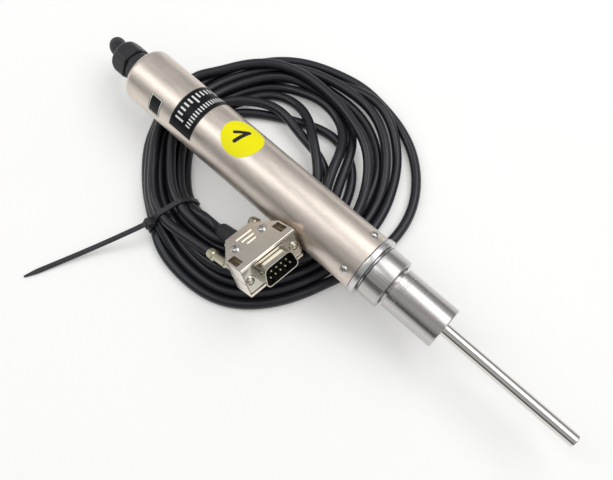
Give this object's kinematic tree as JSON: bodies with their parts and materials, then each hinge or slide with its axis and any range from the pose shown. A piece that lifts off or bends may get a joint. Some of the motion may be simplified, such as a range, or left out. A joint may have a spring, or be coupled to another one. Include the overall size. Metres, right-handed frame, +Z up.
{
  "type": "digital measuring probe",
  "caption": "Digital length probe with a sprung spindle in a turned stem, tubular housing, cable gland, and a coiled cord ending in a metal D-shaped plug.",
  "frame": {"origin": "centre of the spindle's contact face, with the spindle fully out", "axes": "+X along the spindle, out of the probe; +Z up from the surface that the probe and its coiled cord lie on"},
  "size_m": [0.2853, 0.1967, 0.0438],
  "materials": {
    "champagne_nickel": "satin champagne nickel plate",
    "turned_aluminium": "fine turned",
    "bright_aluminium": "bright turned with polished chamfers",
    "ground_steel": "ground and polished",
    "screw_steel": "bright zinc",
    "bronze": "sintered",
    "brass": "machined",
    "plug_nickel": "nickel-plated die casting",
    "gold_plate": "gold flash",
    "black_nylon": "satin moulded",
    "black_rubber": "matte",
    "cord_vinyl": "satin vinyl",
    "scale_alloy": "lapped",
    "board_green": "solder mask",
    "chip_black": "moulded"
  },
  "bodies": {
    "probe": {"housing_tube": "champagne_nickel", "stem": "turned_aluminium", "front_cap": "bright_aluminium", "return_spring": "ground_steel", "tube_screw_1": "screw_steel", "tube_screw_2": "screw_steel", "tube_screw_3": "screw_steel", "tube_screw_4": "screw_steel", "slotted_rail": "screw_steel", "plain_rail": "screw_steel", "head_bracket": "screw_steel", "spring_rod": "screw_steel", "board_bar_rear": "screw_steel", "board_bar_front": "screw_steel", "hood_screw_1": "screw_steel", "hood_screw_2": "screw_steel", "cable_clamp": "screw_steel", "front_bush": "bronze", "rear_bush": "bronze", "spring_seat": "brass", "hood_top": "plug_nickel", "hood_bottom": "plug_nickel", "plug_shell": "plug_nickel", "contact_pin_1": "gold_plate", "contact_pin_2": "gold_plate", "contact_pin_3": "gold_plate", "contact_pin_4": "gold_plate", "contact_pin_5": "gold_plate", "contact_pin_6": "gold_plate", "contact_pin_7": "gold_plate", "contact_pin_8": "gold_plate", "contact_pin_9": "gold_plate", "gland_body": "black_nylon", "gland_nut": "black_nylon", "cable_tie": "black_nylon", "plug_insulator": "black_nylon", "board_connector": "black_nylon", "wiper_seal": "black_rubber", "gland_seal": "black_rubber", "cord_boot": "black_rubber", "plug_sleeve": "black_rubber", "cord_coil": "cord_vinyl", "cord_lead": "cord_vinyl", "cord_tail": "cord_vinyl", "circuit_board": "board_green", "reading_head": "chip_black", "signal_chip": "chip_black"},
    "spindle_group": {"spindle": "ground_steel", "buffer_ring": "black_rubber", "carriage": "brass", "guide_pin": "screw_steel", "scale_bar": "scale_alloy"},
    "jackscrew_left_body": {"jackscrew_left": "plug_nickel"},
    "jackscrew_right_body": {"jackscrew_right": "plug_nickel"}
  },
  "joints": [
    {"name": "spindle_slide", "type": "slide", "parent": "probe", "child": "spindle_group", "axis": [-1, 0, 0], "range_m": [0, 0.06], "stiffness_N_per_m": 20, "springref_m": -0.06, "deforming": ["return_spring"]},
    {"name": "jackscrew_left_turn", "type": "hinge", "parent": "probe", "child": "jackscrew_left_body", "pos_m": [-0.13821, -0.04212, 0.01024], "axis": [0.8606, 0.0165, 0.509], "continuous": true},
    {"name": "jackscrew_right_turn", "type": "hinge", "parent": "probe", "child": "jackscrew_right_body", "pos_m": [-0.13651, -0.01745, 0.00658], "axis": [0.8606, 0.0165, 0.509], "continuous": true}
  ]
}
